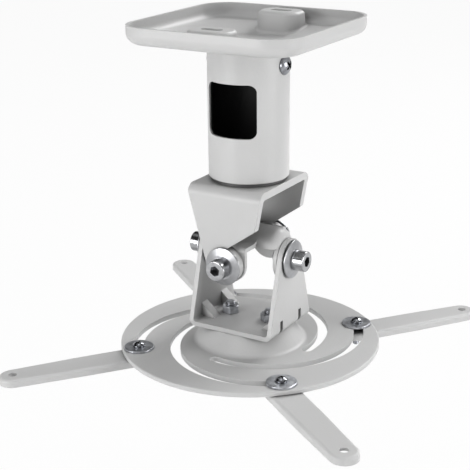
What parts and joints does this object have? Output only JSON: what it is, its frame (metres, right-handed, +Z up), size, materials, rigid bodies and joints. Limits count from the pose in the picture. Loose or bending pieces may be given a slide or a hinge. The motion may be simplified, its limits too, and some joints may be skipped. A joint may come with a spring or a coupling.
{
  "type": "projector ceiling mount",
  "caption": "Ceiling mount for a projector: bossed tray, cable tube, two-way tilt joint and a slotted spider disc with swinging arms.",
  "frame": {"origin": "centre of the ceiling plate's rim, on the plane that lies against the ceiling", "axes": "+Z up into the ceiling; Y across the two boss slots, the tube's cable window faces -Y; X to the right"},
  "size_m": [0.2522, 0.2522, 0.2192],
  "materials": {
    "powder_coat": "satin",
    "zinc": "satin",
    "chrome_steel": "polished"
  },
  "bodies": {
    "ceiling": {"ceiling_plate": "powder_coat", "swivel_spigot": "powder_coat"},
    "column": {"support_tube": "powder_coat", "collar_screw_left": "zinc", "collar_screw_right": "zinc", "upper_bracket": "powder_coat", "cup_washer_front": "chrome_steel", "cup_washer_rear": "chrome_steel"},
    "gimbal": {"gimbal_cross": "powder_coat", "pivot_screw_right": "chrome_steel", "pivot_screw_left": "chrome_steel", "pivot_screw_front": "chrome_steel", "pivot_screw_rear": "chrome_steel"},
    "carrier": {"lower_bracket": "powder_coat", "cup_washer_left": "chrome_steel", "cup_washer_right": "chrome_steel", "spider_disc": "powder_coat", "hub_bolt_left": "zinc", "hub_bolt_right": "zinc", "hub_nut_left": "zinc", "hub_nut_right": "zinc"},
    "slider_right": {"arm_washer_right": "zinc", "arm_screw_right": "zinc", "arm_nut_right": "zinc"},
    "arm_right": {"arm_right": "powder_coat"},
    "slider_rear": {"arm_washer_rear": "zinc", "arm_screw_rear": "zinc", "arm_nut_rear": "zinc"},
    "arm_rear": {"arm_rear": "powder_coat"},
    "slider_left": {"arm_washer_left": "zinc", "arm_screw_left": "zinc", "arm_nut_left": "zinc"},
    "arm_left": {"arm_left": "powder_coat"},
    "slider_front": {"arm_washer_front": "zinc", "arm_screw_front": "zinc", "arm_nut_front": "zinc"},
    "arm_front": {"arm_front": "powder_coat"}
  },
  "joints": [
    {"name": "swivel", "type": "hinge", "parent": "ceiling", "child": "column", "pos_m": [0, 0, -0.025], "axis": [0, 0, 1], "continuous": true},
    {"name": "roll", "type": "hinge", "parent": "column", "child": "gimbal", "pos_m": [0, 0, -0.146], "axis": [0, 1, 0], "range_deg": [-20, 20]},
    {"name": "tilt", "type": "hinge", "parent": "gimbal", "child": "carrier", "pos_m": [0, 0, -0.146], "axis": [1, 0, 0], "range_deg": [-30, 30]},
    {"name": "slot_right", "type": "hinge", "parent": "carrier", "child": "slider_right", "pos_m": [0.00611, 0.01555, -0.2047], "axis": [0, 0, 1], "range_deg": [-80, 0]},
    {"name": "swing_right", "type": "hinge", "parent": "slider_right", "child": "arm_right", "pos_m": [0.0519, 0.0519, -0.2047], "axis": [0, 0, 1], "range_deg": [-98, 82]},
    {"name": "slot_rear", "type": "hinge", "parent": "carrier", "child": "slider_rear", "pos_m": [-0.01555, 0.00611, -0.2047], "axis": [0, 0, 1], "range_deg": [-80, 0]},
    {"name": "swing_rear", "type": "hinge", "parent": "slider_rear", "child": "arm_rear", "pos_m": [-0.0519, 0.0519, -0.2047], "axis": [0, 0, 1], "range_deg": [-98, 82]},
    {"name": "slot_left", "type": "hinge", "parent": "carrier", "child": "slider_left", "pos_m": [-0.00611, -0.01555, -0.2047], "axis": [0, 0, 1], "range_deg": [-80, 0]},
    {"name": "swing_left", "type": "hinge", "parent": "slider_left", "child": "arm_left", "pos_m": [-0.0519, -0.0519, -0.2047], "axis": [0, 0, 1], "range_deg": [-98, 82]},
    {"name": "slot_front", "type": "hinge", "parent": "carrier", "child": "slider_front", "pos_m": [0.01555, -0.00611, -0.2047], "axis": [0, 0, 1], "range_deg": [-80, 0]},
    {"name": "swing_front", "type": "hinge", "parent": "slider_front", "child": "arm_front", "pos_m": [0.0519, -0.0519, -0.2047], "axis": [0, 0, 1], "range_deg": [-98, 82]}
  ]
}
